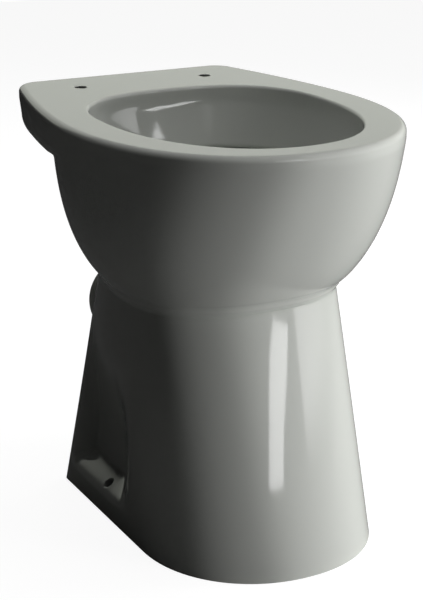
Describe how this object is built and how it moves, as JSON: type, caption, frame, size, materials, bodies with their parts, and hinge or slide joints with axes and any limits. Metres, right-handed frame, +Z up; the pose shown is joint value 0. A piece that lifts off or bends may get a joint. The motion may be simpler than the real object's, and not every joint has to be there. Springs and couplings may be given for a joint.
{
  "type": "floor-standing toilet pan",
  "caption": "Raised floor-standing toilet pan in white glazed vitreous china, with an open box rim, a rear deck with seat holes, a waisted foot and a horizontal outlet spigot.",
  "frame": {"origin": "on the floor, at the middle of the pan's width and depth", "axes": "+Z up, the front of the bowl faces -Y, X across the pan; the pan is the same on both sides of the X = 0 plane"},
  "size_m": [0.3558, 0.473, 0.46],
  "materials": {
    "glazed_china": "high-gloss soft white vitreous glaze",
    "glazed_waterway": "gloss glaze inside the waterway"
  },
  "bodies": {
    "root": {"rim_and_deck": "glazed_china", "outer_bowl": "glazed_china", "basin": "glazed_china", "pedestal": "glazed_china", "trap_bridge": "glazed_china", "fixing_boss_left": "glazed_china", "fixing_boss_right": "glazed_china", "trapway": "glazed_waterway", "weir_bend": "glazed_waterway", "outlet_spigot": "glazed_waterway"}
  },
  "joints": []
}
